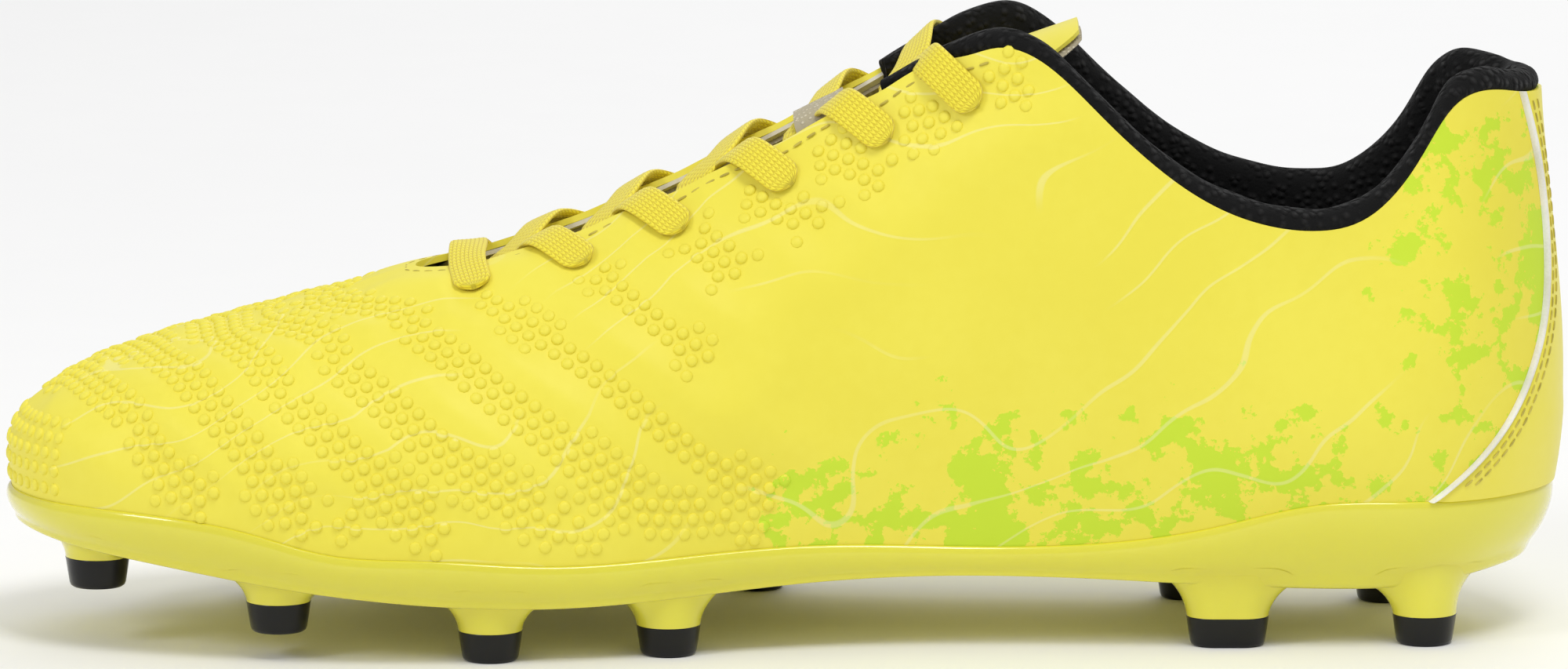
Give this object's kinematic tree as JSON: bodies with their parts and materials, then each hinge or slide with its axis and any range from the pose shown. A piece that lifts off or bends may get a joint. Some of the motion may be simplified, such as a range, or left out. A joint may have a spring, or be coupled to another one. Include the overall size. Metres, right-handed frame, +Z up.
{
  "type": "soccer cleat",
  "caption": "Low-cut lace-up right soccer cleat with a synthetic upper, padded collar, lacing over a tongue, and a moulded plate with flared studs.",
  "frame": {"origin": "centre of the shoe's box, on the ground under the studs", "axes": "+X towards the heel, +Y towards the outer (lateral) side, +Z up"},
  "size_m": [0.2862, 0.0949, 0.1129],
  "materials": {
    "upper_yellow": "matt synthetic with pressed dots",
    "panel_yellow": "matt synthetic, finely grained",
    "plate_yellow": "glossy moulded plastic",
    "stud_black": "glossy hard plastic",
    "board_fibre": "stiff fibre board",
    "sockliner_foam": "textile over thin foam",
    "lining_textile": "smooth textile",
    "reinforcement": "stiff sheet, hidden",
    "piping_white": "smooth piping",
    "collar_knit": "knitted textile",
    "collar_padding": "soft foam, hidden",
    "tongue_yellow": "matt synthetic",
    "tongue_textile": "off-white textile",
    "lace_yellow": "flat woven braid",
    "aglet_plastic": "clear tinted sleeve"
  },
  "bodies": {
    "rearfoot": {"aglet_lateral": "aglet_plastic", "aglet_medial": "aglet_plastic", "collar_foam": "collar_padding", "collar_lining": "collar_knit", "eyestay_lateral": "reinforcement", "eyestay_medial": "reinforcement", "heel_counter": "reinforcement", "heel_panel": "panel_yellow", "heel_piping_lateral": "piping_white", "heel_piping_medial": "piping_white", "insole_board": "board_fibre", "lace": "lace_yellow", "outsole_plate": "plate_yellow", "quarter_lining_lateral": "lining_textile", "quarter_lining_medial": "lining_textile", "sockliner": "sockliner_foam", "stud_tip_ball_lateral": "stud_black", "stud_tip_ball_medial": "stud_black", "stud_tip_heel_front_lateral": "stud_black", "stud_tip_heel_front_medial": "stud_black", "stud_tip_heel_rear_lateral": "stud_black", "stud_tip_heel_rear_medial": "stud_black", "stud_tip_mid_lateral": "stud_black", "stud_tip_mid_medial": "stud_black", "tongue_face": "tongue_yellow", "tongue_foam": "collar_padding", "tongue_keeper": "tongue_yellow", "tongue_lining": "tongue_textile", "upper": "upper_yellow", "vamp_lining": "lining_textile"},
    "forefoot": {"stud_tip_fore_lateral": "stud_black", "stud_tip_fore_medial": "stud_black", "stud_tip_toe_lateral": "stud_black", "stud_tip_toe_medial": "stud_black", "toe_puff": "reinforcement"}
  },
  "joints": [
    {"name": "forefoot_flex", "type": "hinge", "parent": "rearfoot", "child": "forefoot", "pos_m": [-0.0761, 0, 0.028], "axis": [0, 1, 0], "range_deg": [0, 25], "stiffness_Nm_per_rad": 4, "deforming": ["upper", "vamp_lining", "outsole_plate", "insole_board", "sockliner"]}
  ]
}
